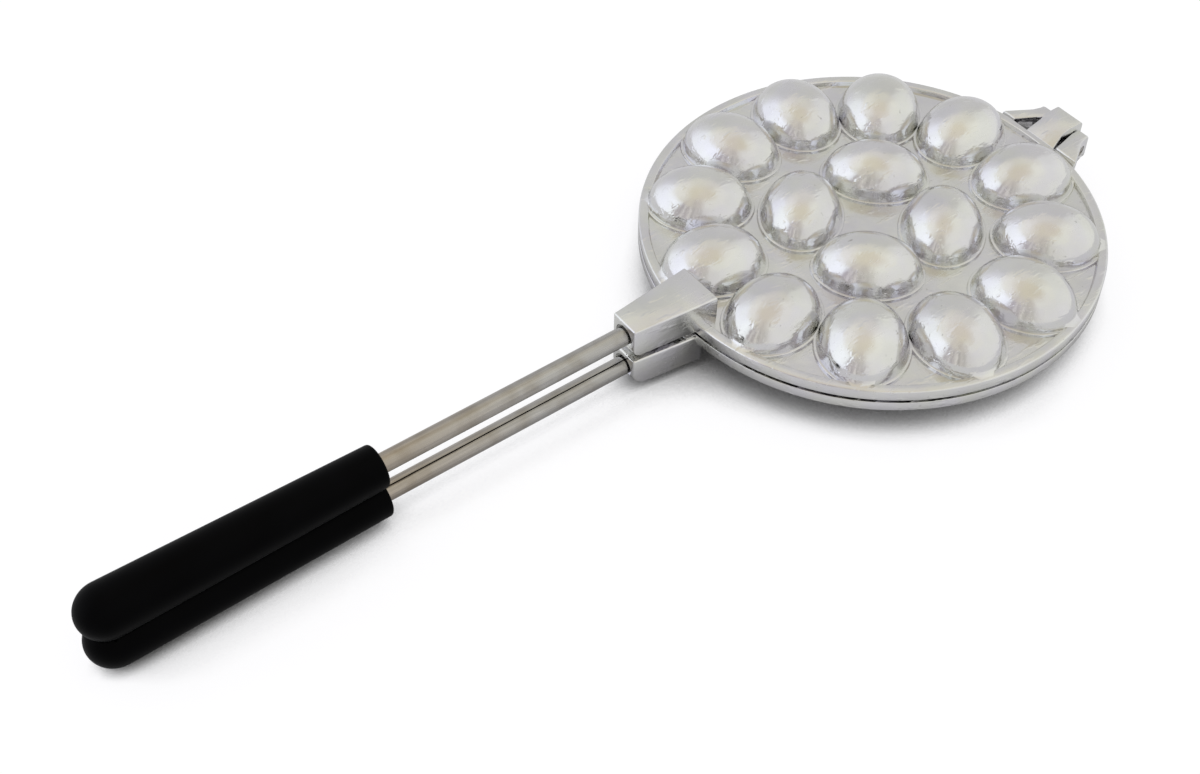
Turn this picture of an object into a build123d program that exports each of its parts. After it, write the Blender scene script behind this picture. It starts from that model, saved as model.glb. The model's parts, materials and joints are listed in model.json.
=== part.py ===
from build123d import *
import os

# Walnut cookie mold for the stove top: two cast aluminium halves on one hinge pin, each
# with a steel tube handle and a plastic grip. Millimetres, +Z up. The origin is the centre
# of the lower half's flat underside. The hinge is at +X and the handles run out to -X.

# --- driving dimensions: the two halves ---------------------------------------------------
plate_diameter = 200.0
rim_height = 5.5              # each half's edge, from the parting face out
rim_width = 4.0               # raised lip round each half
floor_thickness = 3.5         # metal between the domes
edge_round = 0.8              # outer edges of the castings
chord_setback = 1.7           # flat cut across the upper half at the hinge
centre_pad_diameter = 24.0    # flat pad left in the middle of the underside

outer_count = 12              # nuts in the outer ring
outer_ring_radius = 74.2      # to the middle of each outer nut
outer_dome_length = 44.6      # along the radius
outer_dome_width = 36.6
inner_count = 4               # nuts in the inner ring
inner_ring_radius = 30.2
inner_dome_length = 45.2      # across the radius
inner_dome_width = 34.4
dome_height = 19.9            # dome top above the parting face
dome_spring = 5.0             # straight foot of a dome, above the parting face
dome_wall = 2.6               # metal over a cavity
dough_gap = 3.5               # room for the dough round each bump
bump_wall = 2.8               # metal between a bump and the hollow under it

# --- driving dimensions: handles ------------------------------------------------------------
handle_offset = 5.0           # the handles stand this far to +Y of the middle
tube_spacing = 16.9           # between the two tubes' axes
tube_diameter = 8.0
tube_wall = 0.8
tube_length = 239.0
tube_clearance = 0.1          # tube in its socket and in its grip
seam_width = 0.5              # open butt seam of the rolled tube
seam_tilt = 12.0              # degrees from the other tube's side round to -Y

socket_reach = 29.3           # how far a socket stands out from the plate's edge
socket_depth = 27.0           # of the hole that the tube goes into
socket_gap = 2.6              # between the two sockets
socket_front_width = 14.2
socket_back_width = 22.2
upper_socket_overlap = 10.0   # how far the upper socket runs in over the plate
lower_socket_overlap = 3.0
socket_mouth_diameter = 10.4
socket_mouth_depth = 2.2
socket_round = 4.0            # lower front edge of each socket
socket_root_reach = 4.5       # root that closes the slit beside the plate
socket_root_width = 19.2

retainer_diameter = 3.0       # drive pin that holds a tube in its socket
retainer_length = 10.0
retainer_inset = 17.0         # from the socket's front
retainer_clearance = 0.02

grip_inset = 97.6             # how far a tube runs into its grip
grip_straight = 110.9         # near end to the round butt
grip_near_diameter = 18.0
grip_far_diameter = 21.8
grip_butt_length = 11.4
grip_edge_round = 1.2
grip_pair_gap = 0.4           # between the flats of the two grips

# --- driving dimensions: hinge --------------------------------------------------------------
hinge_reach = 13.0            # pin axis beyond the plate's edge
hinge_offset = -2.5           # the hinge's middle stands this far to -Y
hinge_pin_diameter = 5.0
running_clearance = 0.06      # pin in the upper half's tab
press_clearance = 0.01        # pin in the lower half's ears
ear_gap = 15.2                # between the inner faces of the two ears
ear_thickness = 6.4
ear_reach = 5.5               # metal beyond the pin axis
ear_round = 2.0               # corners of an ear's end
arm_root_width = 48.5         # over both arms where they leave the plate
arm_turn_width = 30.4         # over both arms where they turn straight
arm_turn_back = 1.5           # where the arms turn straight, before the pin axis
arm_waist_reach = 2.5         # where they reach the ears' width, beyond the pin axis
arm_root_depth = 3.4          # how far the arms run in over the plate
near_window = 10.4            # inner face of the -Y arm at its root, from the middle
far_window = 15.1             # inner face of the +Y arm at its root
swing_clearance = 0.5         # arms to the upper half's cut edge as it swings
tab_clearance = 0.4           # tab to each ear
tab_far_side = 6.4            # tab's +Y side at its root, from the hinge's middle
tab_waist_back = 6.4          # where the tab gets to its width at the ears, before the pin axis
tab_far_shoulder_end = 3.0    # where its +Y side is out to full width, before the pin axis
tab_root_depth = 3.4          # how far the tab runs in over the plate
hook_height = 8.7             # flat back of the tab above the pin axis
hook_reach = 7.0              # end of the tab beyond the pin axis
hook_round = 2.0              # corners of the tab's end
ramp_length = 12.6            # sloping face from the cut edge up to the flat back

# --- worked out from them -------------------------------------------------------------------
plate_radius = plate_diameter / 2
parting = rim_height
upper_top = parting + rim_height
floor_top = parting + floor_thickness
recess_depth = rim_height - floor_thickness
bump_inset = dome_wall + dough_gap
bump_height = dome_height - bump_inset
hollow_inset = bump_inset + bump_wall
hollow_top = parting + bump_height - bump_wall

upper_axis = parting + tube_spacing / 2
lower_axis = parting - tube_spacing / 2
tube_radius = tube_diameter / 2
tube_bore_radius = tube_radius + tube_clearance
socket_height = tube_spacing - socket_gap
socket_front = -plate_radius - socket_reach
tube_inner_end = socket_front + socket_depth
tube_outer_end = tube_inner_end - tube_length
retainer_x = socket_front + retainer_inset
retainer_hole_radius = retainer_diameter / 2 + retainer_clearance
grip_near_end = tube_outer_end + grip_inset
grip_far_end = grip_near_end - grip_straight

hinge_x = plate_radius + hinge_reach
hinge_z = parting
knuckle_radius = rim_height
chord_x = plate_radius - chord_setback
arm_swing = hinge_x - chord_x - swing_clearance
arm_start = hinge_x - (arm_swing**2 - rim_height**2) ** 0.5
arm_root = plate_radius - arm_root_depth
tab_root = chord_x - tab_root_depth
tab_half = ear_gap / 2 - tab_clearance
hook_top = hinge_z + hook_height
hook_end = hinge_x + hook_reach
hinge_pin_radius = hinge_pin_diameter / 2
hinge_pin_length = ear_gap + 2 * ear_thickness

UP = 1                        # the side of a handle that faces the other one
DOWN = -1

outer_places = PolarLocations(outer_ring_radius, outer_count, start_angle=180 / outer_count)
inner_places = PolarLocations(inner_ring_radius, inner_count, start_angle=180 / inner_count)
# each ring: where its nuts stand, and half a dome's size along and across the radius
nut_rings = [
    (outer_places, outer_dome_length / 2, outer_dome_width / 2),
    (inner_places, inner_dome_width / 2, inner_dome_length / 2),
]


def half_egg(radial, tangential, height, base):
    """Half an ellipsoid that stands on the height base with its round side up."""
    with BuildPart() as egg:
        Sphere(1)
        split(bisect_by=Plane.XY, keep=Keep.TOP)
        scale(by=(radial, tangential, height))
    return egg.part.moved(Location((0, 0, base)))


def socket_block(axis_height, overlap):
    """Tapered block round a tube, with a root that meets the other half's root."""
    back = overlap - plate_radius
    with BuildPart() as block:
        with BuildSketch(Plane.XZ.offset(-handle_offset - socket_back_width)):
            with Locations(((socket_front + back) / 2, axis_height)):
                side_view = Rectangle(back - socket_front, socket_height)
            fillet(side_view.vertices().group_by(Axis.X)[0].sort_by(Axis.Y)[0], socket_round)
        extrude(amount=2 * socket_back_width)
        with BuildSketch(Plane.XY.offset(axis_height - socket_height / 2)):
            with BuildLine():
                Polyline(
                    (socket_front, handle_offset - socket_front_width / 2),
                    (back, handle_offset - socket_back_width / 2),
                    (back, handle_offset + socket_back_width / 2),
                    (socket_front, handle_offset + socket_front_width / 2),
                    close=True,
                )
            make_face()
        extrude(amount=socket_height, mode=Mode.INTERSECT)
        fillet(block.edges().group_by(Axis.X)[:-1], edge_round)
        with BuildSketch(Plane.XY.offset(min(axis_height, parting))):
            root_length = overlap + socket_root_reach
            with Locations((back - root_length / 2, handle_offset)):
                Rectangle(root_length, socket_root_width)
        extrude(amount=abs(axis_height - parting))
    return block.part


def tube_hole(axis_height):
    """The round hole that a tube goes into, with its wider mouth."""
    front = Plane(origin=(socket_front, handle_offset, axis_height), z_dir=(1, 0, 0))
    with BuildPart() as hole:
        with BuildSketch(front):
            Circle(tube_bore_radius)
        extrude(amount=socket_depth)
        with BuildSketch(front):
            Circle(socket_mouth_diameter / 2)
        extrude(amount=socket_mouth_depth)
    return hole.part


def retainer_round(axis_height, facing, radius):
    """The round of a drive pin, from the socket's mating face in through one tube wall."""
    with BuildPart() as round_body:
        with BuildSketch(Plane.XY.offset(axis_height + facing * socket_height / 2)):
            with Locations((retainer_x, handle_offset)):
                Circle(radius)
        extrude(amount=-facing * retainer_length)
    return round_body.part


def hinge_round(radius, width):
    """A round along the hinge's axis, as wide as given, about the hinge's middle."""
    with BuildPart() as round_body:
        with BuildSketch(Plane.XZ.offset(-hinge_offset - width / 2)):
            with Locations((hinge_x, hinge_z)):
                Circle(radius)
        extrude(amount=width)
    return round_body.part


def hinge_arm(side, window):
    """One arm of the lower half, from the plate's edge out to the ear that holds the pin."""
    ear_inner = ear_gap / 2
    ear_outer = ear_inner + ear_thickness
    turn = hinge_x - arm_turn_back
    waist = hinge_x + arm_waist_reach
    end = hinge_x + ear_reach
    with BuildPart() as arm:
        with BuildSketch(Plane.XY):
            with BuildLine():
                Polyline(
                    (arm_root, hinge_offset + side * arm_root_width / 2),
                    (turn, hinge_offset + side * arm_turn_width / 2),
                    (waist, hinge_offset + side * ear_outer),
                    (end, hinge_offset + side * ear_outer),
                    (end, hinge_offset + side * ear_inner),
                    (hinge_x, hinge_offset + side * ear_inner),
                    (arm_start, hinge_offset + side * window),
                    (arm_root, hinge_offset + side * window),
                    close=True,
                )
            make_face()
        extrude(amount=upper_top)
        with BuildSketch(Plane.XZ.offset(-hinge_offset - arm_root_width)) as side_view:
            with BuildLine():
                Polyline(
                    (arm_root, 0),
                    (end, 0),
                    (end, upper_top),
                    (arm_start, upper_top),
                    (arm_start, parting),
                    (arm_root, parting),
                    close=True,
                )
            make_face()
            fillet(side_view.vertices().group_by(Axis.X)[-1], ear_round)
        extrude(amount=2 * arm_root_width, mode=Mode.INTERSECT)
    return arm.part


# --- hinge tab of the upper half: a sloping face runs up to a flat back over the pin ---------
with BuildPart() as hinge_tab:
    with BuildSketch(Plane.XZ.offset(-hinge_offset - ear_gap)) as tab_side:
        with BuildLine():
            Polyline(
                (tab_root, parting),
                (tab_root, upper_top),
                (chord_x, upper_top),
                (chord_x + ramp_length, hook_top),
                (hook_end, hook_top),
                (hook_end, parting),
                close=True,
            )
        make_face()
        fillet(tab_side.vertices().group_by(Axis.X)[-1], hook_round)
        with Locations((hinge_x, hinge_z)):
            Circle(knuckle_radius)
    extrude(amount=2 * ear_gap)
    with BuildSketch(Plane.XY):
        with BuildLine():
            Polyline(
                (tab_root, hinge_offset - near_window + tab_clearance),
                (chord_x, hinge_offset - near_window + tab_clearance),
                (hinge_x - tab_waist_back, hinge_offset - tab_half),
                (hook_end, hinge_offset - tab_half),
                (hook_end, hinge_offset + tab_half),
                (hinge_x - tab_far_shoulder_end, hinge_offset + tab_half),
                (hinge_x - tab_waist_back, hinge_offset + tab_far_side),
                (tab_root, hinge_offset + tab_far_side),
                close=True,
            )
        make_face()
    extrude(amount=hook_top, mode=Mode.INTERSECT)

# --- upper half: sixteen hollow domes, raised lip, socket and hinge tab ----------------------
with BuildPart() as upper_plate:
    with BuildSketch(Plane.XY.offset(parting)):
        Circle(plate_radius)
    extrude(amount=rim_height)
    fillet(upper_plate.faces().sort_by(Axis.Z)[-1].edges(), edge_round)
    with BuildSketch(Plane.XY.offset(floor_top)):
        Circle(plate_radius - rim_width)
    extrude(amount=recess_depth, mode=Mode.SUBTRACT)
    with BuildSketch(Plane.XY.offset(parting)):
        with Locations((chord_x, 0)):
            Rectangle(plate_radius, plate_diameter, align=(Align.MIN, Align.CENTER))
    extrude(amount=rim_height, mode=Mode.SUBTRACT)
    for places, radial, tangential in nut_rings:
        with BuildSketch(Plane.XY.offset(parting)):
            with places:
                Ellipse(radial, tangential)
        extrude(amount=dome_spring)
        with places:
            add(half_egg(radial, tangential, dome_height - dome_spring, parting + dome_spring))
    add(socket_block(upper_axis, upper_socket_overlap))
    add(hinge_tab.part)
    for places, radial, tangential in nut_rings:
        cavity = half_egg(
            radial - dome_wall, tangential - dome_wall, dome_height - dome_wall, parting
        )
        with places:
            add(cavity, mode=Mode.SUBTRACT)
    add(tube_hole(upper_axis), mode=Mode.SUBTRACT)
    add(retainer_round(upper_axis, DOWN, retainer_hole_radius), mode=Mode.SUBTRACT)
    add(hinge_round(hinge_pin_radius + running_clearance, 2 * ear_gap), mode=Mode.SUBTRACT)

# --- lower half: a bump for each cavity, hollow from below, socket and two hinge arms --------
with BuildPart() as lower_plate:
    with BuildSketch(Plane.XY):
        Circle(plate_radius)
    extrude(amount=rim_height)
    fillet(lower_plate.faces().sort_by(Axis.Z)[0].edges(), edge_round)
    with BuildSketch(Plane.XY):
        Circle(plate_radius - rim_width)
        Circle(centre_pad_diameter / 2, mode=Mode.SUBTRACT)
    extrude(amount=recess_depth, mode=Mode.SUBTRACT)
    for places, radial, tangential in nut_rings:
        bump = half_egg(radial - bump_inset, tangential - bump_inset, bump_height, parting)
        hollow = half_egg(radial - hollow_inset, tangential - hollow_inset, hollow_top, 0)
        with places:
            add(bump)
            add(hollow, mode=Mode.SUBTRACT)
    add(socket_block(lower_axis, lower_socket_overlap))
    add(hinge_arm(-1, near_window))
    add(hinge_arm(1, far_window))
    add(tube_hole(lower_axis), mode=Mode.SUBTRACT)
    add(retainer_round(lower_axis, UP, retainer_hole_radius), mode=Mode.SUBTRACT)
    add(hinge_round(hinge_pin_radius + press_clearance, arm_root_width), mode=Mode.SUBTRACT)

# --- hinge pin: held in the two ears, flush with their outer faces ---------------------------
with BuildPart() as hinge_pin:
    add(hinge_round(hinge_pin_radius, hinge_pin_length))


def handle_tube(axis_height, facing):
    """Rolled steel tube with an open butt seam, drilled for its drive pin."""
    end = Plane(
        origin=(tube_outer_end, handle_offset, axis_height), x_dir=(0, 1, 0), z_dir=(1, 0, 0)
    )
    seam_angle = facing * seam_tilt if facing == UP else 180 + facing * seam_tilt
    with BuildPart() as tube:
        with BuildSketch(end):
            Circle(tube_radius)
            Circle(tube_radius - tube_wall, mode=Mode.SUBTRACT)
            Rectangle(
                seam_width,
                tube_diameter,
                rotation=seam_angle,
                align=(Align.CENTER, Align.MIN),
                mode=Mode.SUBTRACT,
            )
        extrude(amount=tube_length)
        add(retainer_round(axis_height, facing, retainer_hole_radius), mode=Mode.SUBTRACT)
    return tube.part


def grip(axis_height, facing):
    """Bullet-shaped grip, blind bored for its tube, with a flat beside the other grip."""
    axis = Axis((0, handle_offset, axis_height), (1, 0, 0))
    with BuildPart() as handle:
        with BuildSketch(Plane.XZ.offset(-handle_offset)):
            with BuildLine():
                Polyline(
                    (grip_far_end - grip_butt_length, axis_height),
                    (grip_near_end, axis_height),
                    (grip_near_end, axis_height + grip_near_diameter / 2),
                    (grip_far_end, axis_height + grip_far_diameter / 2),
                )
                EllipticalCenterArc(
                    (grip_far_end, axis_height),
                    grip_butt_length,
                    grip_far_diameter / 2,
                    start_angle=90,
                    arc_size=90,
                )
            make_face()
        revolve(axis=axis)
        fillet(handle.faces().sort_by(Axis.X)[-1].edges(), grip_edge_round)
        flat_height = parting - facing * grip_pair_gap / 2
        kept_side = Keep.BOTTOM if facing == UP else Keep.TOP
        split(bisect_by=Plane.XY.offset(flat_height), keep=kept_side)
        with BuildSketch(Plane(origin=(tube_outer_end, handle_offset, axis_height), z_dir=(1, 0, 0))):
            Circle(tube_bore_radius)
        extrude(amount=grip_inset, mode=Mode.SUBTRACT)
    return handle.part


# --- handles: tube, grip and drive pin of each half ------------------------------------------
retainer_radius = retainer_diameter / 2
with BuildPart() as upper_tube:
    add(handle_tube(upper_axis, DOWN))
with BuildPart() as lower_tube:
    add(handle_tube(lower_axis, UP))
with BuildPart() as upper_grip:
    add(grip(upper_axis, DOWN))
with BuildPart() as lower_grip:
    add(grip(lower_axis, UP))
with BuildPart() as upper_socket_pin:
    add(retainer_round(upper_axis, DOWN, retainer_radius))
with BuildPart() as lower_socket_pin:
    add(retainer_round(lower_axis, UP, retainer_radius))

upper_plate.part.label = "upper_plate"
lower_plate.part.label = "lower_plate"
hinge_pin.part.label = "hinge_pin"
upper_tube.part.label = "upper_tube"
lower_tube.part.label = "lower_tube"
upper_grip.part.label = "upper_grip"
lower_grip.part.label = "lower_grip"
upper_socket_pin.part.label = "upper_socket_pin"
lower_socket_pin.part.label = "lower_socket_pin"

os.makedirs("parts", exist_ok=True)
export_step(upper_plate.part, "parts/upper_plate.step")
export_step(lower_plate.part, "parts/lower_plate.step")
export_step(hinge_pin.part, "parts/hinge_pin.step")
export_step(upper_tube.part, "parts/upper_tube.step")
export_step(lower_tube.part, "parts/lower_tube.step")
export_step(upper_grip.part, "parts/upper_grip.step")
export_step(lower_grip.part, "parts/lower_grip.step")
export_step(upper_socket_pin.part, "parts/upper_socket_pin.step")
export_step(lower_socket_pin.part, "parts/lower_socket_pin.step")
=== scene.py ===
import json
import math

import bpy
from mathutils import Matrix, Vector

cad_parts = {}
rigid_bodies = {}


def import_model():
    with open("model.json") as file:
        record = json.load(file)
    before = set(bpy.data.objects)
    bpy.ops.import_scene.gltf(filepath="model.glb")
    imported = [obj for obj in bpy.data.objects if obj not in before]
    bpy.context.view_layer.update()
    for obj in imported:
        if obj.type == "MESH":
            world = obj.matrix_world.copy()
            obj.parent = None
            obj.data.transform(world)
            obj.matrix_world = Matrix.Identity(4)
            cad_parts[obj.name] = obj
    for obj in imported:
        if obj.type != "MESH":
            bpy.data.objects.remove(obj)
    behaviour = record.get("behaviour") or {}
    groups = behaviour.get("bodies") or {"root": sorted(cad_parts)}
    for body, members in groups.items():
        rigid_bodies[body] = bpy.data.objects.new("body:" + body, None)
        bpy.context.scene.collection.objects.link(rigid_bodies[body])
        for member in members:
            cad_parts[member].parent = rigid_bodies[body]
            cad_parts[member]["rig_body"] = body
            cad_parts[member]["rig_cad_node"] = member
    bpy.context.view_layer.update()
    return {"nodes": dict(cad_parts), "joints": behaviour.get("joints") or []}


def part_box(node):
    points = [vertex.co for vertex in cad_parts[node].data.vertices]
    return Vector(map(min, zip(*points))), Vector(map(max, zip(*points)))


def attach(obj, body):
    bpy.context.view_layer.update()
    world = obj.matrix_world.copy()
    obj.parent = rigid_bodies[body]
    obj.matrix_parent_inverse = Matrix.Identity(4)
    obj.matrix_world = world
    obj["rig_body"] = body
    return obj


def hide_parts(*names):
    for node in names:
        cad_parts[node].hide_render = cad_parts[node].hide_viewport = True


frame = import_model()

mm = 0.001

# --- Lower half: the casting that stands on the stove -----------------------------------------
# One piece of cast aluminium, 200 mm across. Its upper face carries sixteen smooth bumps, its
# underside a raised lip and a hollow under each bump. The faces were turned and then polished.

lower_low, lower_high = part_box("lower_plate")
plate_radius = lower_high.y
hinge_place = Vector(frame["joints"][0]["pos_m"])
parting = hinge_place.z
parting_slit = 1.4 * mm
lower_face = parting - parting_slit / 2
rim_width = 4.0 * mm
lip_slope = 0.7 * mm
recess_depth = 2.0 * mm
rim_bevel = 0.8 * mm
joint_bevel = 0.2 * mm
lip_bevel = 0.35 * mm
centre_pad_radius = 12.0 * mm
plate_steps = 240
round_steps = 64
touch = 0.001 * mm


def clear_selection():
    """Leave edit mode and deselect every object."""
    if bpy.context.object and bpy.context.object.mode != "OBJECT":
        bpy.ops.object.mode_set(mode="OBJECT")
    bpy.ops.object.select_all(action="DESELECT")


def take(piece):
    """Make one object the only selected one, and the active one."""
    clear_selection()
    piece.select_set(True)
    bpy.context.view_layer.objects.active = piece
    return piece


def settle(piece, name):
    """Name a new primitive and put its place, turn and size into its mesh."""
    take(piece)
    piece.name = name
    piece.data.name = name
    bpy.ops.object.transform_apply(location=True, rotation=True, scale=True)
    return piece


def round_bar(name, radius, low, high, axis="Z", at=(0, 0, 0), steps=96):
    """A cylinder between two places on its axis, through the point at."""
    middle = Vector(at)
    turn = {"X": (0, math.pi / 2, 0), "Y": (math.pi / 2, 0, 0), "Z": (0, 0, 0)}[axis]
    middle["XYZ".index(axis)] = (low + high) / 2
    clear_selection()
    bpy.ops.mesh.primitive_cylinder_add(
        vertices=steps, radius=radius, depth=high - low, location=middle, rotation=turn
    )
    return settle(bpy.context.object, name)


def edit_faces(piece, wanted):
    """Go into edit mode with only the faces selected whose centre and normal are wanted."""
    take(piece)
    bpy.ops.object.mode_set(mode="EDIT")
    bpy.ops.mesh.select_mode(type="FACE")
    bpy.ops.mesh.select_all(action="DESELECT")
    bpy.ops.object.mode_set(mode="OBJECT")
    for face in piece.data.polygons:
        face.select = wanted(face.center, face.normal)
    bpy.ops.object.mode_set(mode="EDIT")


def edit_edges(piece, wanted):
    """Go into edit mode with only the edges selected both of whose ends are wanted."""
    take(piece)
    bpy.ops.object.mode_set(mode="EDIT")
    bpy.ops.mesh.select_mode(type="EDGE")
    bpy.ops.mesh.select_all(action="DESELECT")
    bpy.ops.object.mode_set(mode="OBJECT")
    points = piece.data.vertices
    for edge in piece.data.edges:
        a, b = (points[v].co for v in edge.vertices)
        edge.select = wanted(a, b)
    bpy.ops.object.mode_set(mode="EDIT")


def round_edges(piece, wanted, width, segments=3):
    """Bevel the edges both of whose ends are wanted."""
    edit_edges(piece, wanted)
    bpy.ops.mesh.bevel(offset=width, segments=segments, affect="EDGES")
    bpy.ops.object.mode_set(mode="OBJECT")


def add_modifier(piece, kind, **settings):
    """Add a modifier with these settings and apply it at once."""
    take(piece)
    modifier = piece.modifiers.new(kind.lower(), kind)
    for key, value in settings.items():
        setattr(modifier, key, value)
    bpy.ops.object.modifier_apply(modifier=modifier.name)
    return piece


def combine(piece, tool, operation, tool_overlaps=False):
    """Weld a second solid on, or cut it away, and drop the tool."""
    add_modifier(
        piece, "BOOLEAN", object=tool, operation=operation, solver="EXACT", use_self=tool_overlaps
    )
    bpy.data.objects.remove(tool)
    return piece


def turned_disc(name, low, high, lip_up):
    """A round plate with a raised lip on one face and its edges rounded."""
    disc = round_bar(name, plate_radius, low, high, steps=plate_steps)
    facing = 1 if lip_up else -1
    edit_faces(disc, lambda centre, normal: normal.z * facing > 0.9)
    bpy.ops.mesh.inset(thickness=rim_width)
    bpy.ops.mesh.inset(thickness=lip_slope, depth=-recess_depth)
    bpy.ops.object.mode_set(mode="OBJECT")
    lip_level, joint_level = (high, low) if lip_up else (low, high)
    for radius, level, width in (
        (plate_radius, lip_level, rim_bevel),
        (plate_radius, joint_level, joint_bevel),
        (plate_radius - rim_width, lip_level, lip_bevel),
    ):
        on_ring = lambda p: abs(p.xy.length - radius) < 0.05 * mm and abs(p.z - level) < touch
        round_edges(disc, lambda a, b: on_ring(a) and on_ring(b), width)
    return disc


lower_casting = turned_disc("lower_casting", 0.0, lower_face, lip_up=False)

pad = round_bar("centre_pad", centre_pad_radius, 0.0, recess_depth + 1 * mm, steps=round_steps)
combine(lower_casting, pad, "UNION")

# Hinge arms of the lower half: two arms reach out past the rim and turn into flat round-ended
# ears. The pin runs through both. They are part of the casting, filed smooth at their edges.

pin_low, pin_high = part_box("hinge_pin")
rim_top = 2 * parting
ear_thickness = 6.4 * mm
ear_outer = (pin_high.y - pin_low.y) / 2
ear_inner = ear_outer - ear_thickness
ear_end = hinge_place.x + 5.5 * mm
ear_round = 2.0 * mm
arm_waist = hinge_place.x + 2.5 * mm
arm_turn = hinge_place.x - 1.5 * mm
arm_start = 99.9 * mm
arm_inside = 97.0 * mm
arm_turn_outer = 15.2 * mm
arm_root_outer = 22.2 * mm
arm_buried_outer = 23.6 * mm
arm_buried_height = (0.7 * mm, parting - 1.8 * mm)
arm_windows = {-1: 10.4 * mm, 1: 15.1 * mm}
arm_bevel = 0.6 * mm
sharp_angle = 0.6
pin_hole_radius = 2.51 * mm


def block(name, low, high):
    """A cube stretched between two corners."""
    clear_selection()
    low = Vector(low)
    high = Vector(high)
    bpy.ops.mesh.primitive_cube_add(size=1, location=(low + high) / 2, scale=high - low)
    return settle(bpy.context.object, name)


def soften(piece, width, segments=2):
    """Bevel every sharp corner, and leave edges that are already rounded."""
    return add_modifier(
        piece,
        "BEVEL",
        width=width,
        segments=segments,
        limit_method="ANGLE",
        angle_limit=sharp_angle,
    )


def draw_out(piece, end_x, to_x, y_range, z_range):
    """Extrude the face at end_x along X, and give the new end these widths."""
    edit_faces(piece, lambda centre, normal: abs(centre.x - end_x) < touch and abs(normal.x) > 0.9)
    bpy.ops.mesh.extrude_region_move(TRANSFORM_OT_translate={"value": (to_x - end_x, 0, 0)})
    bpy.ops.object.mode_set(mode="OBJECT")
    ends = [v.co for v in piece.data.vertices if v.select]
    y_low = min(p.y for p in ends)
    y_high = max(p.y for p in ends)
    z_low = min(p.z for p in ends)
    z_high = max(p.z for p in ends)
    bpy.ops.object.mode_set(mode="EDIT")
    wider = (y_range[1] - y_range[0]) / (y_high - y_low)
    taller = (z_range[1] - z_range[0]) / (z_high - z_low)
    bpy.ops.transform.resize(value=(1, wider, taller), center_override=(to_x, y_low, z_low))
    bpy.ops.transform.translate(value=(0, y_range[0] - y_low, z_range[0] - z_low))
    bpy.ops.object.mode_set(mode="OBJECT")


def hinge_arm(side):
    """One arm: its straight ear, drawn out along -X to the plate, with a blunt round end."""
    widths = lambda a, b: sorted((hinge_place.y + side * a, hinge_place.y + side * b))
    ear = widths(ear_inner, ear_outer)
    height = (0.0, rim_top)
    window = arm_windows[side]
    bend = (arm_waist - hinge_place.x) / (arm_waist - arm_turn)
    middle_outer = ear_outer + bend * (arm_turn_outer - ear_outer)
    bend = (hinge_place.x - arm_turn) / (hinge_place.x - arm_start)
    turn_inner = ear_inner + bend * (window - ear_inner)
    arm = block("arm", (arm_waist, ear[0], 0), (ear_end, ear[1], rim_top))
    draw_out(arm, arm_waist, hinge_place.x, widths(ear_inner, middle_outer), height)
    draw_out(arm, hinge_place.x, arm_turn, widths(turn_inner, arm_turn_outer), height)
    draw_out(arm, arm_turn, arm_start, widths(window, arm_root_outer), height)
    draw_out(arm, arm_start, arm_inside, widths(window, arm_buried_outer), arm_buried_height)
    outside = hinge_place.y + side * ear_outer

    def on_blunt_end(a, b):
        """True for the level edges of the ear's end, and for its outer upright edge."""
        at_end = min(a.x, b.x) > ear_end - 0.01 * mm
        level = abs(a.z - b.z) < touch
        return at_end and (level or max(abs(a.y - outside), abs(b.y - outside)) < touch)

    round_edges(arm, on_blunt_end, ear_round, 6)
    return soften(arm, arm_bevel)


for side in (-1, 1):
    combine(lower_casting, hinge_arm(side), "UNION")
pin_hole = round_bar("pin_hole", pin_hole_radius, -0.1, 0.1, "Y", hinge_place, round_steps)
combine(lower_casting, pin_hole, "DIFFERENCE")

# Handle sockets: one tapered block on each half, cast with it. A tube stands in each block's
# long hole, which is wider at its mouth, and a short root closes the slit beside the plate.

tube_low, tube_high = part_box("lower_tube")
upper_tube_low, upper_tube_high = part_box("upper_tube")
handle_y = (tube_low.y + tube_high.y) / 2
lower_axis = (tube_low.z + tube_high.z) / 2
upper_axis = (upper_tube_low.z + upper_tube_high.z) / 2
tube_radius = (tube_high.z - tube_low.z) / 2
tube_clearance = 0.1 * mm
socket_gap = 2.6 * mm
socket_front = lower_low.x
socket_height = upper_axis - lower_axis - socket_gap
socket_front_half = 7.1 * mm
socket_back_half = 11.1 * mm
socket_bevel = 0.8 * mm
lower_socket_round = 6.3 * mm
lower_back = 3.0 * mm - plate_radius
mouth_radius = 5.15 * mm
mouth_depth = 2.2 * mm
socket_root_half = 9.6 * mm
socket_root_front = -plate_radius - 4.5 * mm
socket_root_bevel = 0.4 * mm
root_inset = 1.0 * mm
root_gap = 0.05 * mm


def cut(piece, point, normal):
    """Saw off what lies beyond a plane, and close the cut."""
    take(piece)
    bpy.ops.object.mode_set(mode="EDIT")
    bpy.ops.mesh.select_all(action="SELECT")
    bpy.ops.mesh.bisect(
        plane_co=point, plane_no=normal, clear_outer=True, use_fill=True, threshold=touch
    )
    bpy.ops.object.mode_set(mode="OBJECT")
    return piece


def socket_block(name, axis_height, back, front_round):
    """A block that widens toward the plate, its lower front edge well rounded."""
    low = axis_height - socket_height / 2
    high = axis_height + socket_height / 2
    half = socket_back_half
    piece = block(name, (socket_front, handle_y - half, low), (back, handle_y + half, high))
    slope = (socket_back_half - socket_front_half) / (back - socket_front)
    for side in (-1, 1):
        corner = (socket_front, handle_y + side * socket_front_half, 0)
        cut(piece, corner, (-slope, side, 0))
    front = lambda p: p.x < socket_front + 0.1 * mm and p.z < low + 0.1 * mm
    round_edges(piece, lambda a, b: front(a) and front(b), front_round, 8)
    return soften(piece, socket_bevel, 3)


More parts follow.
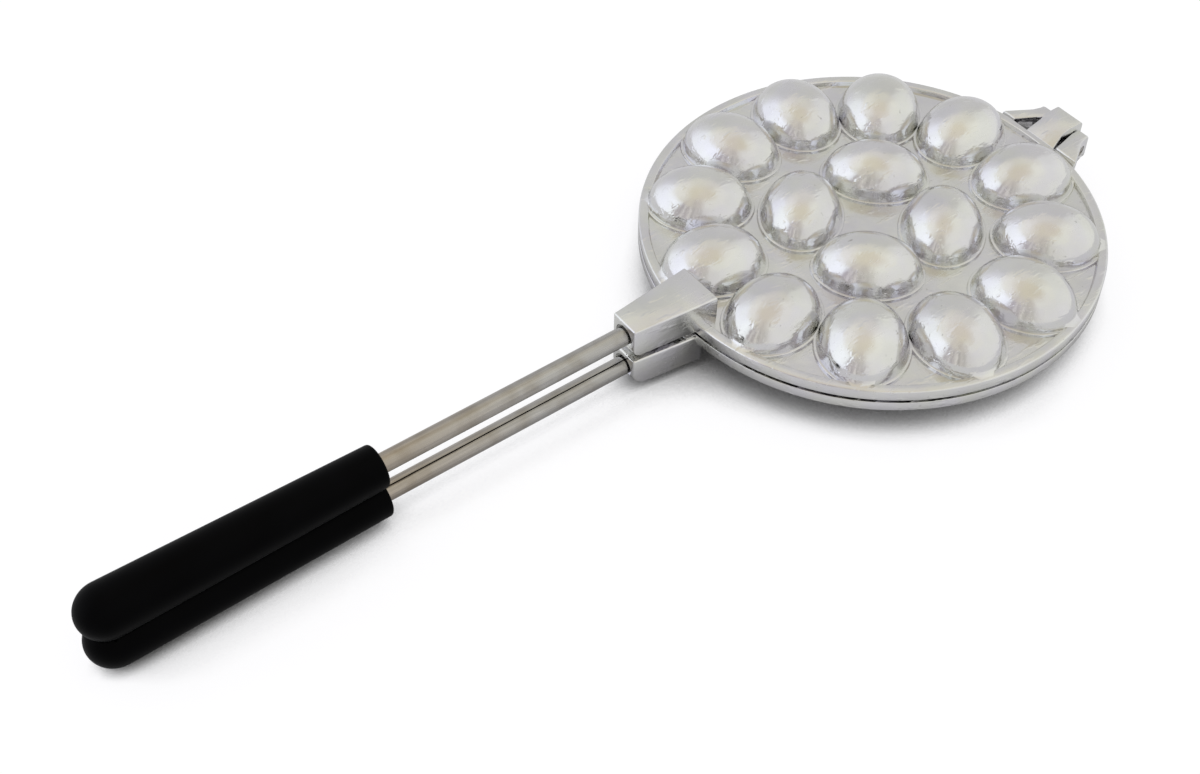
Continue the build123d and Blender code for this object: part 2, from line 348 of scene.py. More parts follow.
def socket_hole(axis_height):
    """The hole for a tube and its wider mouth, as one cutting tool."""
    at = (0, handle_y, axis_height)
    hole_radius = tube_radius + tube_clearance
    hole_start = socket_front - 1 * mm
    hole = round_bar("hole", hole_radius, hole_start, tube_high.x, "X", at, round_steps)
    mouth_start = socket_front - 2 * mm
    mouth_end = socket_front + mouth_depth
    mouth = round_bar("mouth", mouth_radius, mouth_start, mouth_end, "X", at, round_steps)
    return combine(hole, mouth, "UNION")


def socket_root(back, low, high):
    """The short web that fills the slit between a block and the other half's block."""
    half = socket_root_half
    root = block("root", (socket_root_front, handle_y - half, low), (back, handle_y + half, high))
    return soften(root, socket_root_bevel)


lower_block = socket_block("lower_socket", lower_axis, lower_back, lower_socket_round)
combine(lower_casting, lower_block, "UNION")
lower_root = socket_root(lower_back - root_inset, lower_axis, lower_face - root_gap)
combine(lower_casting, lower_root, "UNION")
combine(lower_casting, socket_hole(lower_axis), "DIFFERENCE")

# Baking face of the lower half: a bump for the inside of each nut, and a hollow under each bump
# that keeps the metal about as thick there as in the rest of the casting.

outer_ring_radius = 74.2 * mm
inner_ring_radius = 30.2 * mm
outer_half = Vector((22.3 * mm, 18.3 * mm, 0))
inner_half = Vector((17.2 * mm, 22.6 * mm, 0))
outer_turns = [math.radians(15 + 30 * k) for k in range(12)]
inner_turns = [math.radians(45 + 90 * k) for k in range(4)]
bump_inset = 6.1 * mm
bump_height = lower_high.z - parting
hollow_inset = 8.9 * mm
hollow_top = lower_high.z - 2.8 * mm
nut_foot = 1.0 * mm


def join(pieces, name):
    """Make several objects one."""
    clear_selection()
    for piece in pieces:
        piece.select_set(True)
    bpy.context.view_layer.objects.active = pieces[0]
    bpy.ops.object.join()
    pieces[0].name = name
    return pieces[0]


def half_nut(name, half, height, foot, steps=80, skirt_height=0.0, skirt_width=0.0):
    """Half an ellipsoid on a straight foot, closed below, with a spreading skirt if asked."""
    clear_selection()
    bpy.ops.mesh.primitive_uv_sphere_add(
        segments=steps, ring_count=steps // 2, radius=1, scale=(half.x, half.y, height)
    )
    nut = settle(bpy.context.object, name)
    bpy.ops.object.mode_set(mode="EDIT")
    bpy.ops.mesh.select_all(action="SELECT")
    bpy.ops.mesh.bisect(plane_co=(0, 0, skirt_height), plane_no=(0, 0, -1), clear_outer=True)
    bpy.ops.mesh.select_mode(type="EDGE")
    bpy.ops.mesh.select_all(action="DESELECT")
    bpy.ops.mesh.select_non_manifold()
    if skirt_width:
        spread = (1 + skirt_width / half.x, 1 + skirt_width / half.y, 1)
        bpy.ops.mesh.extrude_edges_move(TRANSFORM_OT_translate={"value": (0, 0, -skirt_height)})
        bpy.ops.transform.resize(value=spread, center_override=(0, 0, 0))
    bpy.ops.mesh.extrude_edges_move(TRANSFORM_OT_translate={"value": (0, 0, -foot)})
    bpy.ops.mesh.edge_face_add()
    bpy.ops.mesh.select_all(action="SELECT")
    bpy.ops.mesh.normals_make_consistent(inside=False)
    bpy.ops.object.mode_set(mode="OBJECT")
    return nut


def ring_of(nut, radius, turns, height):
    """Copies of a nut on a ring, each with its own mesh, and the first one removed.

    Each is turned a hair on its own axis, so that no two neighbours share a mirror plane.
    """
    hair = Matrix.Rotation(math.radians(0.25), 4, "Z")
    copies = []
    for turn in turns:
        copy = nut.copy()
        copy.data = nut.data.copy()
        bpy.context.collection.objects.link(copy)
        place = Matrix.Rotation(turn, 4, "Z") @ Matrix.Translation((radius, 0, height))
        copy.data.transform(place @ hair)
        copies.append(copy)
    bpy.data.objects.remove(nut)
    return copies


def all_nuts(name, inset, height, foot, level, steps=80, skirt=(0.0, 0.0)):
    """Sixteen nuts in their two rings as one object: twelve outside and four inside."""
    shrink = Vector((inset, inset, 0))
    outer = half_nut(name, outer_half - shrink, height, foot, steps, *skirt)
    inner = half_nut(name, inner_half - shrink, height, foot, steps, *skirt)
    ring = ring_of(outer, outer_ring_radius, outer_turns, level)
    ring += ring_of(inner, inner_ring_radius, inner_turns, level)
    return join(ring, name)


bumps = all_nuts("bumps", bump_inset, bump_height, nut_foot, lower_face)
combine(lower_casting, bumps, "UNION")
hollows = all_nuts("hollows", hollow_inset, hollow_top, nut_foot, 0.0)
combine(lower_casting, hollows, "DIFFERENCE")

# Finish of the castings: polished aluminium that still shows the mould. It mirrors the room
# softly, and has shallow waves and dents, fine scratches, dark pits and faint dull clouds.

seam_width = 0.003 * mm
smooth_below = math.radians(32)


def noise(nodes, links, place, scale, detail, low=0.0, high=1.0):
    """Noise over the surface, with the range from low to high stretched to 0 and 1."""
    texture = nodes.new("ShaderNodeTexNoise")
    texture.inputs["Scale"].default_value = scale
    texture.inputs["Detail"].default_value = detail
    links.new(place, texture.inputs["Vector"])
    spread = nodes.new("ShaderNodeMapRange")
    spread.inputs["From Min"].default_value = low
    spread.inputs["From Max"].default_value = high
    links.new(texture.outputs["Fac"], spread.inputs["Value"])
    return spread.outputs["Result"]


def stretched(nodes, links, place, turn, squeeze):
    """The same coordinates squeezed along one line, so that noise over them becomes streaks."""
    mapping = nodes.new("ShaderNodeMapping")
    mapping.inputs["Rotation"].default_value = turn
    mapping.inputs["Scale"].default_value = (squeeze, 1, 1)
    links.new(place, mapping.inputs["Vector"])
    return mapping.outputs["Vector"]


def blend(nodes, links, share, first, second, kind="MIX"):
    """Mix two colours by a share; a colour is a socket or three numbers."""
    mix = nodes.new("ShaderNodeMix")
    mix.data_type = "RGBA"
    mix.blend_type = kind
    for socket, value in (("Factor", share), ("A", first), ("B", second)):
        if isinstance(value, bpy.types.NodeSocket):
            links.new(value, mix.inputs[socket])
        elif socket == "Factor":
            mix.inputs[socket].default_value = value
        else:
            mix.inputs[socket].default_value = (*value, 1)
    return mix.outputs["Result"]


def scaled(nodes, links, share, low, high):
    """A number that runs from low to high as the share runs from 0 to 1."""
    span = nodes.new("ShaderNodeMapRange")
    span.inputs["To Min"].default_value = low
    span.inputs["To Max"].default_value = high
    links.new(share, span.inputs["Value"])
    return span.outputs["Result"]


def relief(nodes, links, height, distance, strength, under=None):
    """A bump from a height between 0 and 1, laid over another bump if there is one."""
    bump = nodes.new("ShaderNodeBump")
    bump.inputs["Strength"].default_value = strength
    bump.inputs["Distance"].default_value = distance
    links.new(height, bump.inputs["Height"])
    if under:
        links.new(under, bump.inputs["Normal"])
    return bump.outputs["Normal"]


def new_material(name):
    """A material with its nodes, links, shader and object coordinates."""
    material = bpy.data.materials.new(name)
    material.use_nodes = True
    nodes = material.node_tree.nodes
    place = nodes.new("ShaderNodeTexCoord").outputs["Object"]
    return material, nodes, material.node_tree.links, nodes["Principled BSDF"], place


def cast_aluminium():
    """Polished cast aluminium: waves, dents, scratches, pits, dull clouds and a faint film."""
    material, nodes, links, shader, place = new_material("cast_aluminium")
    shader.inputs["Metallic"].default_value = 1.0
    dull, bright = (0.69, 0.695, 0.70), (0.755, 0.765, 0.77)
    violet, straw = (0.985, 0.967, 1.0), (1.0, 0.995, 0.955)
    speck, pit = (0.45, 0.45, 0.44), (0.42, 0.41, 0.40)

    clouds = noise(nodes, links, place, 55, 5, 0.35, 0.7)
    specks = noise(nodes, links, place, 520, 3, 0.7, 0.8)
    pits = noise(nodes, links, place, 190, 2, 0.745, 0.8)
    one_way = stretched(nodes, links, place, (0.2, 0.1, 0.9), 0.03)
    other_way = stretched(nodes, links, place, (0.1, -0.3, -0.7), 0.05)
    long_way = stretched(nodes, links, place, (0, 0, 0.6), 0.35)
    scratches = noise(nodes, links, one_way, 900, 2, 0.64, 0.72)
    marks = noise(nodes, links, other_way, 600, 2, 0.66, 0.76)

    hue = noise(nodes, links, place, 70, 3, 0.38, 0.62)
    tint = blend(nodes, links, clouds, dull, bright)
    film = blend(nodes, links, hue, violet, straw)
    tint = blend(nodes, links, 1.0, tint, film, "MULTIPLY")
    tint = blend(nodes, links, specks, tint, speck)
    tint = blend(nodes, links, pits, tint, pit)
    links.new(tint, shader.inputs["Base Color"])

    lines = nodes.new("ShaderNodeMath")
    lines.operation = "MAXIMUM"
    links.new(scratches, lines.inputs[0])
    links.new(marks, lines.inputs[1])
    base_rough = scaled(nodes, links, clouds, 0.1, 0.2)
    rough = nodes.new("ShaderNodeMath")
    rough.operation = "MULTIPLY_ADD"
    links.new(lines.outputs["Value"], rough.inputs[0])
    rough.inputs[1].default_value = 0.16
    links.new(base_rough, rough.inputs[2])
    links.new(rough.outputs["Value"], shader.inputs["Roughness"])

    waves = noise(nodes, links, place, 110, 2)
    dents = noise(nodes, links, long_way, 300, 2, 0.58, 0.74)
    grain = noise(nodes, links, place, 480, 4)
    normal = relief(nodes, links, waves, 0.0008, 0.18)
    normal = relief(nodes, links, dents, 0.0005, 0.3, normal)
    normal = relief(nodes, links, grain, 0.0004, 0.1, normal)
    normal = relief(nodes, links, scratches, 0.0001, 0.2, normal)
    links.new(normal, shader.inputs["Normal"])
    return material


casting_finish = cast_aluminium()


def dress(piece, material, body, nodes_replaced):
    """Close a finished piece's seams, shade it, give it its material, attach it to its body and
    hide the nodes it replaces.
    """
    take(piece)
    bpy.ops.object.mode_set(mode="EDIT")
    bpy.ops.mesh.select_all(action="SELECT")
    bpy.ops.mesh.remove_doubles(threshold=seam_width)
    bpy.ops.mesh.select_all(action="SELECT")
    bpy.ops.mesh.fill_holes(sides=3)
    bpy.ops.object.mode_set(mode="OBJECT")
    bpy.ops.object.shade_smooth_by_angle(angle=smooth_below)
    piece.data.materials.clear()
    piece.data.materials.append(material)
    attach(piece, body)
    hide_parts(*nodes_replaced)


dress(lower_casting, casting_finish, "lower_half", ["lower_plate"])

# --- Upper half: the domed casting ------------------------------------------------------------
# The same alloy and size, with a raised lip on top and sixteen hollow domes. A flat is cut
# across it at the hinge, so that it can swing over the arms of the lower half.

upper_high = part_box("upper_plate")[1]
upper_face = parting + parting_slit / 2
chord_x = plate_radius - 1.7 * mm

upper_casting = turned_disc("upper_casting", upper_face, rim_top, lip_up=True)
cut(upper_casting, (chord_x, 0, 0), (1, 0, 0))

# Its hinge tab is a sloping tongue between the ears with a hooked end. It keeps the exact outline
# that swings clear of the ears, and gets its corners broken here.

tab_seam = 0.05 * mm
tab_buried = 1.5 * mm
tab_bevel = 0.4 * mm
flat_angle = math.radians(0.5)

hinge_tab = frame["nodes"]["upper_plate"].copy()
hinge_tab.data = frame["nodes"]["upper_plate"].data.copy()
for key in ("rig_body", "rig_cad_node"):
    del hinge_tab[key]
hinge_tab.parent = None
bpy.context.collection.objects.link(hinge_tab)
hinge_tab.name = "hinge_tab"
take(hinge_tab)
bpy.ops.object.mode_set(mode="EDIT")
bpy.ops.mesh.select_all(action="SELECT")
bpy.ops.mesh.remove_doubles(threshold=touch)
bpy.ops.object.mode_set(mode="OBJECT")
cut(hinge_tab, (chord_x + tab_seam, 0, 0), (-1, 0, 0))
bpy.ops.object.mode_set(mode="EDIT")
bpy.ops.mesh.select_all(action="SELECT")
bpy.ops.mesh.dissolve_limited(angle_limit=flat_angle)
bpy.ops.object.mode_set(mode="OBJECT")
soften(hinge_tab, tab_bevel)
edit_faces(
    hinge_tab, lambda centre, normal: normal.x < -0.99 and centre.x < chord_x + 2 * tab_seam
)
bpy.ops.mesh.extrude_region_move(TRANSFORM_OT_translate={"value": (-tab_buried, 0, 0)})
bpy.ops.object.mode_set(mode="OBJECT")
combine(upper_casting, hinge_tab, "UNION")

# Its handle socket is the same block as the lower half's. It runs further in over the plate, and
# its lower front edge is rounded less.

upper_back = 10.0 * mm - plate_radius
upper_root_back = 3.0 * mm - plate_radius
upper_socket_round = 3.5 * mm

upper_block = socket_block("upper_socket", upper_axis, upper_back, upper_socket_round)
combine(upper_casting, upper_block, "UNION")
upper_root = socket_root(upper_root_back, upper_face + root_gap, upper_axis)
combine(upper_casting, upper_root, "UNION")
combine(upper_casting, socket_hole(upper_axis), "DIFFERENCE")

# Each dome stands on a low collar and spreads at its foot. The domes are a little uneven from
# polishing by hand, and their cavities are wrinkled like the shell of a walnut.

plate_floor = rim_top - recess_depth
collar_width = 1.5 * mm
collar_slope = 0.5 * mm
collar_height = 1.4 * mm
collar_bevel = 0.2 * mm
dome_height = upper_high.z - parting
dome_spring = 5.0 * mm
dome_wall = 2.6 * mm
dome_base = parting + dome_spring
dome_rise = dome_height - dome_spring
dome_foot = dome_base - plate_floor + 0.6 * mm
dome_steps = 96
skirt_height = 2.1 * mm
skirt_width = 0.75 * mm
skirt_top = dome_base + skirt_height + 0.1 * mm
dome_unevenness = 0.14 * mm
dome_wave = 9.0 * mm
shell_wrinkle = 0.9 * mm
shell_cell = 6.0 * mm
shell_edge = parting + 1.5 * mm


def collar(half):
    """A low elliptical plinth with sloping sides, wider than the dome that stands on it."""
    top = half + Vector((collar_width, collar_width, 0))
    foot = top + Vector((collar_slope, collar_slope, 0))
    low = plate_floor - 1 * mm
    high = plate_floor + collar_height
    clear_selection()
    bpy.ops.mesh.primitive_cylinder_add(
        vertices=dome_steps,
        radius=1,
        depth=high - low,
        location=(0, 0, (low + high) / 2),
        scale=(foot.x, foot.y, 1),
    )
    piece = settle(bpy.context.object, "collar")
    edit_faces(piece, lambda centre, normal: normal.z > 0.9)
    bpy.ops.transform.resize(
        value=(top.x / foot.x, top.y / foot.y, 1), center_override=(0, 0, high)
    )
    bpy.ops.mesh.bevel(offset=collar_bevel, segments=3, affect="EDGES")
    bpy.ops.object.mode_set(mode="OBJECT")
    return piece


def roughen(piece, texture_kind, cell, depth, above):
    """Press a procedural relief into the part of a surface that lies above a height."""
    texture = bpy.data.textures.new(piece.name + "_relief", texture_kind)
    texture.noise_scale = cell
    crown = piece.vertex_groups.new(name="crown")
    crown.add([v.index for v in piece.data.vertices if v.co.z > above], 1.0, "ADD")
    add_modifier(
        piece,
        "DISPLACE",
        texture=texture,
        texture_coords="GLOBAL",
        strength=depth,
        mid_level=1.0,
        vertex_group=crown.name,
    )


collars = ring_of(collar(outer_half), outer_ring_radius, outer_turns, 0)
collars += ring_of(collar(inner_half), inner_ring_radius, inner_turns, 0)
combine(upper_casting, join(collars, "collars"), "UNION", tool_overlaps=True)
skirt = (skirt_height, skirt_width)
domes = all_nuts("domes", 0.0, dome_rise, dome_foot, dome_base, dome_steps, skirt)
roughen(domes, "CLOUDS", dome_wave, dome_unevenness, skirt_top)
combine(upper_casting, domes, "UNION")
cavities = all_nuts("cavities", dome_wall, dome_height - dome_wall, nut_foot, parting)
roughen(cavities, "VORONOI", shell_cell, shell_wrinkle, shell_edge)
combine(upper_casting, cavities, "DIFFERENCE")
dress(upper_casting, casting_finish, "upper_half", ["upper_plate"])

# --- Hinge pin and socket pins: plain steel rounds --------------------------------------------
# The hinge pin is a 5 mm steel round, driven through both ears and filed flush. A 3 mm drive pin
# on the mating side of each socket holds its tube. All have their ends lightly broken.


def plated_steel():
    """Rolled sheet steel with a thin bright plating, drawn marks along it and a warm tint."""
    material, nodes, links, shader, place = new_material("plated_steel")
    shader.inputs["Metallic"].default_value = 1.0
    plated, heated = (0.49, 0.48, 0.465), (0.44, 0.385, 0.32)
    streak, stain = (0.78, 0.78, 0.78), (0.8, 0.77, 0.72)
    heat_start, heat_end = -0.17, -0.25

    along = stretched(nodes, links, place, (0, 0, 0), 0.03)
    streaks = noise(nodes, links, along, 900, 3, 0.3, 0.7)
    stains = noise(nodes, links, place, 90, 4, 0.45, 0.7)

    split = nodes.new("ShaderNodeSeparateXYZ")
    links.new(place, split.inputs["Vector"])
    heat = nodes.new("ShaderNodeMapRange")
    heat.inputs["From Min"].default_value = heat_start
    heat.inputs["From Max"].default_value = heat_end
    links.new(split.outputs["X"], heat.inputs["Value"])
    tint = blend(nodes, links, heat.outputs["Result"], plated, heated)
    shade = blend(nodes, links, streaks, streak, (1, 1, 1))
    tint = blend(nodes, links, 1.0, tint, shade, "MULTIPLY")
    shade = blend(nodes, links, stains, (1, 1, 1), stain)
    tint = blend(nodes, links, 1.0, tint, shade, "MULTIPLY")
    links.new(tint, shader.inputs["Base Color"])

    links.new(scaled(nodes, links, streaks, 0.16, 0.32), shader.inputs["Roughness"])
    links.new(relief(nodes, links, streaks, 0.0002, 0.15), shader.inputs["Normal"])
    return material


steel_finish = plated_steel()
pin_bevel = 0.3 * mm


def pin(name, node, axis, body):
    """A round bar the size of its CAD node, its two ends chamfered."""
    low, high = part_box(node)
    middle = (low + high) / 2
    along = "XYZ".index(axis)
    radius = (high.z - low.z) / 2 if axis != "Z" else (high.x - low.x) / 2
    bar = round_bar(name, radius, low[along], high[along], axis, middle, round_steps)
    rim = 0.98 * radius
    off_axis = lambda p: ((p - middle) * Vector([i != along for i in range(3)])).length
    round_edges(
        bar,
        lambda a, b: min(off_axis(a), off_axis(b)) > rim and abs(a[along] - b[along]) < touch,
        pin_bevel,
        2,
    )
    dress(bar, steel_finish, body, [node])


pin("hinge_rod", "hinge_pin", "Y", "lower_half")
pin("lower_drive_pin", "lower_socket_pin", "Z", "lower_half")
pin("upper_drive_pin", "upper_socket_pin", "Z", "upper_half")

# --- Handle tubes: rolled steel with an open seam ---------------------------------------------
# Strip steel 0.8 mm thick, rolled to an 8 mm tube whose edges meet in a fine open seam. The lower
# tube shows its seam on top. The upper tube is the same part turned over.

tube_wall = 0.8 * mm
tube_faces = 50
seam_turn = math.radians(12)
half_turn = Matrix.Translation((0, handle_y, parting)) @ Matrix.Rotation(math.pi, 4, "X")
half_turn = half_turn @ Matrix.Translation((0, -handle_y, -parting))

clear_selection()
bpy.ops.mesh.primitive_cylinder_add(
    vertices=tube_faces,
    radius=tube_radius,
    depth=tube_high.x - tube_low.x,
    end_fill_type="NOTHING",
    location=((tube_low.x + tube_high.x) / 2, handle_y, lower_axis),
    rotation=(0, math.pi / 2, 0),
)
lower_rolled_tube = settle(bpy.context.object, "lower_rolled_tube")
seam_side = Vector((0, -math.sin(seam_turn), math.cos(seam_turn)))
half_face = math.cos(math.pi / tube_faces)
edit_faces(lower_rolled_tube, lambda centre, normal: normal.dot(seam_side) > half_face)
bpy.ops.mesh.delete(type="FACE")
bpy.ops.object.mode_set(mode="OBJECT")
add_modifier(lower_rolled_tube, "SOLIDIFY", thickness=tube_wall, offset=-1)


def turned_over(piece, name):
    """A copy with its own mesh, turned half round between the two handles."""
    copy = piece.copy()
    copy.data = piece.data.copy()
    copy.data.transform(half_turn)
    copy.name = name
    bpy.context.collection.objects.link(copy)
    return copy


upper_rolled_tube = turned_over(lower_rolled_tube, "upper_rolled_tube")
dress(lower_rolled_tube, steel_finish, "lower_half", ["lower_tube"])
dress(upper_rolled_tube, steel_finish, "upper_half", ["upper_tube"])

# --- Grips: two moulded black handles ---------------------------------------------------------
# Satin black plastic, 18 mm at the tube growing to 22 mm at a round butt. Each has a flat along
# the side that faces the other grip, and is pushed onto its tube with a blind hole.


def black_plastic():
    """Moulded black plastic, satin, with a fine grain and faint handling marks."""
    material, nodes, links, shader, place = new_material("black_plastic")
    darker, lighter = (0.0008, 0.0008, 0.001), (0.0016, 0.0016, 0.002)
    shader.inputs["Specular IOR Level"].default_value = 0.025
    shader.inputs["Sheen Weight"].default_value = 0.035
    shader.inputs["Sheen Roughness"].default_value = 0.4
    shader.inputs["Sheen Tint"].default_value = (0.9, 0.93, 1.0, 1)
    marks = noise(nodes, links, place, 60, 6, 0.3, 0.7)
    tint = blend(nodes, links, marks, darker, lighter)
    links.new(tint, shader.inputs["Base Color"])
    links.new(scaled(nodes, links, marks, 0.36, 0.48), shader.inputs["Roughness"])
    grain = noise(nodes, links, place, 1600, 2)
    links.new(relief(nodes, links, grain, 0.0002, 0.1), shader.inputs["Normal"])
    return material


grip_finish = black_plastic()
grip_low, grip_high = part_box("upper_grip")
butt_length = 11.4 * mm
butt_radius = 10.9 * mm
butt_steps = 72
grip_near_radius = 9.0 * mm
grip_near_round = 1.2 * mm
grip_flat_round = 0.5 * mm
grip_flat = grip_low.z
grip_butt = grip_low.x + butt_length
grip_near = grip_high.x
grip_middle = Vector((grip_butt, handle_y, upper_axis))

clear_selection()
bpy.ops.mesh.primitive_uv_sphere_add(
    segments=butt_steps,
    ring_count=butt_steps // 2,
    radius=1,
    location=grip_middle,
    rotation=(0, math.pi / 2, 0),
    scale=(butt_radius, butt_radius, butt_length),
)
upper_handle_grip = settle(bpy.context.object, "upper_handle_grip")
cut(upper_handle_grip, grip_middle, (1, 0, 0))
edit_faces(upper_handle_grip, lambda centre, normal: normal.x > 0.99)
bpy.ops.mesh.extrude_region_move(
    TRANSFORM_OT_translate={"value": (grip_near - grip_butt, 0, 0)}
)
taper = grip_near_radius / butt_radius
bpy.ops.transform.resize(
    value=(1, taper, taper), center_override=(grip_near, handle_y, upper_axis)
)
bpy.ops.mesh.inset(thickness=grip_near_radius - tube_radius - tube_clearance)
bpy.ops.mesh.extrude_region_move(
    TRANSFORM_OT_translate={"value": (tube_low.x - grip_near, 0, 0)}
)
bpy.ops.object.mode_set(mode="OBJECT")


def on_near_edge(point):
    """True for a point on the outer edge of the grip's near end."""
    off_axis = (point.yz - grip_middle.yz).length
    return point.x > grip_near - 0.01 * mm and off_axis > grip_near_radius - 0.05 * mm


round_edges(
    upper_handle_grip, lambda a, b: on_near_edge(a) and on_near_edge(b), grip_near_round, 4
)
cut(upper_handle_grip, (0, 0, grip_flat), (0, 0, -1))
round_edges(
    upper_handle_grip, lambda a, b: max(a.z, b.z) < grip_flat + touch, grip_flat_round, 2
)
lower_handle_grip = turned_over(upper_handle_grip, "lower_handle_grip")
dress(upper_handle_grip, grip_finish, "upper_half", ["upper_grip"])
dress(lower_handle_grip, grip_finish, "lower_half", ["lower_grip"])

# --- Studio: the photograph's camera, a pale floor and soft light -----------------------------
# The camera stands in front of the handles and looks down on the plate. The floor lies just
# under the grips, and under the domes of the upper half when it is folded right back.

floor_size = 6.0
grip_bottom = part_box("lower_grip")[0].z
domes_folded_back = 2 * hinge_place.z - upper_high.z
floor_height = min(grip_bottom, domes_folded_back) - 0.1 * mm
clear_selection()
bpy.ops.mesh.primitive_plane_add(size=floor_size, location=(0, 0, floor_height))
floor = settle(bpy.context.object, "floor")

# It is a matt grey that glows up to white where the sky is open above it. Where the object hides
# the sky the glow fades: a painted shadow under the iron, on top of the grey's own real shade. The
# metal sees that glow weaker, and its painted shadow deeper. From below the floor is clear.

floor_grey = (0.2, 0.2, 0.2, 1)
floor_white = (0.98, 0.98, 1.0, 1)
floor_brightness = 0.87
sky_reach = 60 * mm
floor_paint = bpy.data.materials.new("floor_paint")
floor_paint.use_nodes = True
floor_nodes = floor_paint.node_tree.nodes
floor_links = floor_paint.node_tree.links
floor_shader = floor_nodes["Principled BSDF"]
floor_shader.inputs["Base Color"].default_value = floor_grey
floor_shader.inputs["Roughness"].default_value = 0.9
floor_shader.inputs["Specular IOR Level"].default_value = 0.0
floor_shader.inputs["Emission Color"].default_value = floor_white
open_sky = floor_nodes.new("ShaderNodeAmbientOcclusion")
open_sky.samples = 8
open_sky.inputs["Distance"].default_value = sky_reach
rays = floor_nodes.new("ShaderNodeLightPath")


def glow_with_painted_shadow(ray, dark_at, dark, full_at, full):
    """How much a kind of ray sees the floor glow: least where the object hides the sky, a painted
    shadow.
    """
    share = floor_nodes.new("ShaderNodeMapRange")
    share.inputs["From Min"].default_value = dark_at
    share.inputs["From Max"].default_value = full_at
    share.inputs["To Min"].default_value = dark
    share.inputs["To Max"].default_value = full
    floor_links.new(open_sky.outputs["AO"], share.inputs["Value"])
    glow = floor_nodes.new("ShaderNodeMath")
    glow.operation = "MULTIPLY"
    floor_links.new(ray, glow.inputs[0])
    floor_links.new(share.outputs["Result"], glow.inputs[1])
    return glow.outputs["Value"]


def total(first, second):
    """The sum of two numbers."""
    both = floor_nodes.new("ShaderNodeMath")
    floor_links.new(first, both.inputs[0])
    floor_links.new(second, both.inputs[1])
    return both.outputs["Value"]


seen = rays.outputs["Is Camera Ray"]
mirrored = total(rays.outputs["Is Glossy Ray"], rays.outputs["Is Transmission Ray"])
# The glow that the camera and the metal see fades with ambient occlusion: painted shadow near the
# object.
seen_glow_painted_shadow = glow_with_painted_shadow(seen, dark_at=0.3, dark=0.0, full_at=0.62, full=1.0)
mirrored_glow_painted_shadow = glow_with_painted_shadow(mirrored, dark_at=0.4, dark=0.04, full_at=0.9, full=0.66)
floor_strength = floor_nodes.new("ShaderNodeMath")
floor_strength.operation = "MULTIPLY"
floor_links.new(total(seen_glow_painted_shadow, mirrored_glow_painted_shadow), floor_strength.inputs[0])
floor_strength.inputs[1].default_value = floor_brightness
floor_links.new(floor_strength.outputs["Value"], floor_shader.inputs["Emission Strength"])
from_below = floor_nodes.new("ShaderNodeNewGeometry").outputs["Backfacing"]
clear = floor_nodes.new("ShaderNodeBsdfTransparent")
one_sided = floor_nodes.new("ShaderNodeMixShader")
floor_links.new(from_below, one_sided.inputs["Fac"])
floor_links.new(floor_shader.outputs["BSDF"], one_sided.inputs[1])
floor_links.new(clear.outputs["BSDF"], one_sided.inputs[2])
floor_links.new(one_sided.outputs["Shader"], floor_nodes["Material Output"].inputs["Surface"])
floor.data.materials.append(floor_paint)

view_azimuth = math.radians(-36.825)
view_elevation = math.radians(47.643)
view_roll = math.radians(0.603)
view_place = Vector((-426.7 * mm, -376.7 * mm, 514.0 * mm))
focal_pixels = 1740.15
photo_width = 1200
camera_data = bpy.data.cameras.new("photo_camera")
camera_data.sensor_width = 36
camera_data.lens = focal_pixels / photo_width * camera_data.sensor_width
camera_data.clip_start = 10 * mm
camera = bpy.data.objects.new("photo_camera", camera_data)
camera.matrix_world = (
    Matrix.Translation(view_place)
    @ Matrix.Rotation(view_azimuth, 4, "Z")
    @ Matrix.Rotation(math.pi / 2 - view_elevation, 4, "X")
    @ Matrix.Rotation(view_roll, 4, "Z")
)
bpy.context.collection.objects.link(camera)
bpy.context.scene.camera = camera

# The room is what the metal mirrors: a window on the handles' left, pale walls, a dimmer corner
# beyond the hinge, and the photographer between two bright slits, under a warm ceiling. Seen
# straight past the floor's edge, it is as white as the floor.


def room_ring(nodes, links, turn, stops):
    """A ring of wall colours round the object: each stop is an angle from +X and a colour."""
    ring = nodes.new("ShaderNodeValToRGB")
    ring.color_ramp.interpolation = "LINEAR"
    points = ring.color_ramp.elements
    for number, (angle, colour) in enumerate(stops):
        position = (angle + 180) / 360
        point = points[number] if number < 2 else points.new(position)
        point.position = position
        point.color = (*colour, 1)
    links.new(turn, ring.inputs["Fac"])
    return ring.outputs["Color"]


def rise(nodes, links, height, low, high):
    """From 0 to 1 as a direction climbs from one angle above the horizon to another."""
    climb = nodes.new("ShaderNodeMapRange")
    climb.interpolation_type = "SMOOTHSTEP"
    climb.inputs["From Min"].default_value = math.radians(low)
    climb.inputs["From Max"].default_value = math.radians(high)
    links.new(height, climb.inputs["Value"])
    return climb.outputs["Result"]


wall_stops = [
    (-180, (0.72, 0.67, 0.70)),
    (180, (1.10, 1.12, 1.18)),
    (-172, (0.56, 0.52, 0.55)),
    (-167, (1.10, 1.06, 1.04)),
    (-163, (0.52, 0.48, 0.49)),
    (-156, (0.78, 0.73, 0.72)),
    (-152, (1.16, 1.12, 1.06)),
    (-148, (0.48, 0.45, 0.44)),
    (-140, (0.86, 0.82, 0.78)),
    (-134, (0.68, 0.65, 0.61)),
    (-122, (0.94, 0.92, 0.88)),
    (-100, (1.02, 1.01, 0.98)),
    (-15, (1.08, 1.08, 1.04)),
    (14, (1.00, 1.00, 0.96)),
    (22, (0.80, 0.79, 0.77)),
    (76, (0.80, 0.80, 0.80)),
    (92, (0.94, 0.94, 0.97)),
    (108, (1.22, 1.25, 1.32)),
    (160, (1.40, 1.44, 1.54)),
    (172, (1.32, 1.36, 1.44)),
]
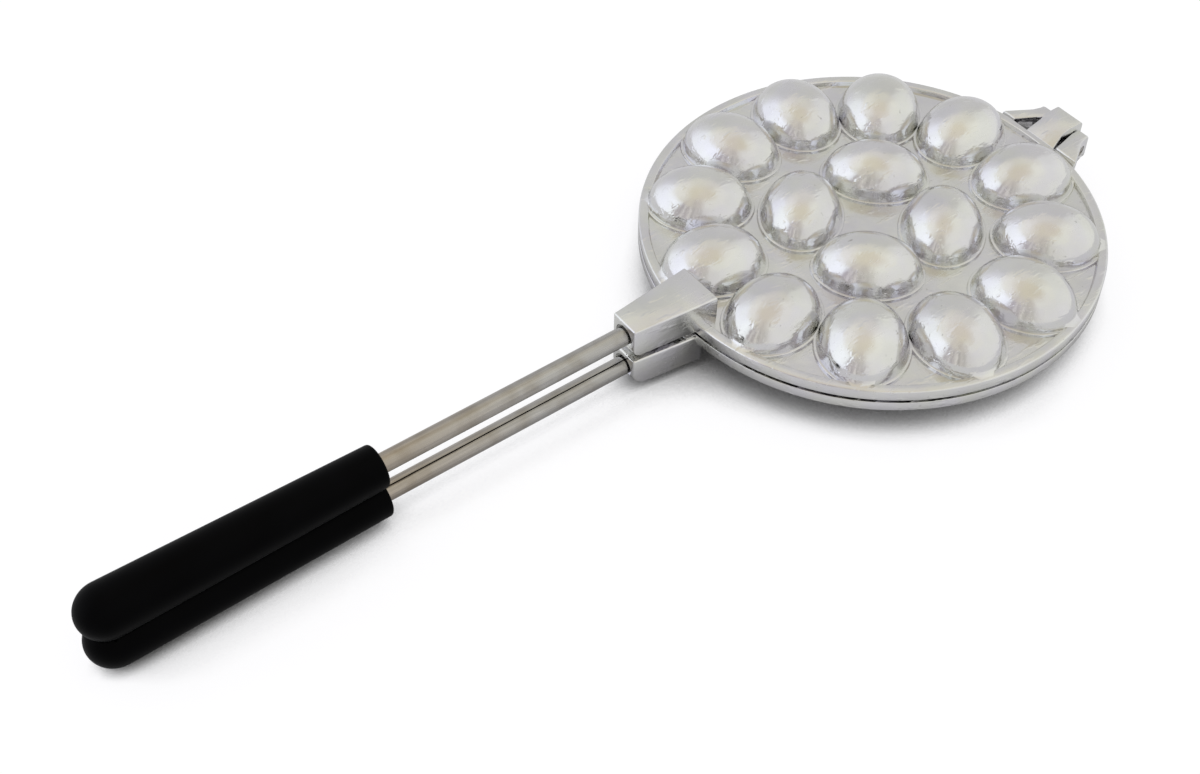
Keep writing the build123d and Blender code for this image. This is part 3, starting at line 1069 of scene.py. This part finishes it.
belt_stops = [
    (-180, (0.80, 0.74, 0.69)),
    (180, (0.92, 0.88, 0.80)),
    (-165, (0.92, 0.86, 0.78)),
    (-148, (0.74, 0.69, 0.64)),
    (-132, (0.84, 0.79, 0.73)),
    (-112, (1.07, 1.06, 0.99)),
    (-10, (1.12, 1.11, 1.03)),
    (15, (0.95, 0.92, 0.84)),
    (60, (0.97, 0.94, 0.86)),
    (100, (1.14, 1.12, 1.06)),
    (145, (1.14, 1.12, 1.07)),
]
ceiling = (0.94, 0.87, 0.73)
room_strength = 0.88
white_backdrop = (1 / room_strength, 1 / room_strength, 1 / room_strength)

world = bpy.data.worlds.new("studio")
world.use_nodes = True
bpy.context.scene.world = world
sky = world.node_tree.nodes
sky_links = world.node_tree.links
direction = sky.new("ShaderNodeSeparateXYZ")
sky_links.new(sky.new("ShaderNodeTexCoord").outputs["Generated"], direction.inputs["Vector"])
turn = sky.new("ShaderNodeMath")
turn.operation = "ARCTAN2"
sky_links.new(direction.outputs["Y"], turn.inputs[0])
sky_links.new(direction.outputs["X"], turn.inputs[1])
turn_share = sky.new("ShaderNodeMapRange")
turn_share.inputs["From Min"].default_value = -math.pi
turn_share.inputs["From Max"].default_value = math.pi
sky_links.new(turn.outputs["Value"], turn_share.inputs["Value"])
height = sky.new("ShaderNodeMath")
height.operation = "ARCSINE"
sky_links.new(direction.outputs["Z"], height.inputs[0])

walls = room_ring(sky, sky_links, turn_share.outputs["Result"], wall_stops)
belt = room_ring(sky, sky_links, turn_share.outputs["Result"], belt_stops)
above_walls = rise(sky, sky_links, height.outputs["Value"], 40, 56)
above_belt = rise(sky, sky_links, height.outputs["Value"], 60, 80)
lower_room = blend(sky, sky_links, above_walls, walls, belt)
room = blend(sky, sky_links, above_belt, lower_room, ceiling)
seen_past_floor = sky.new("ShaderNodeLightPath").outputs["Is Camera Ray"]
room = blend(sky, sky_links, seen_past_floor, room, white_backdrop)
sky_links.new(room, sky["Background"].inputs["Color"])
sky["Background"].inputs["Strength"].default_value = room_strength

bpy.context.scene.view_settings.view_transform = "Standard"
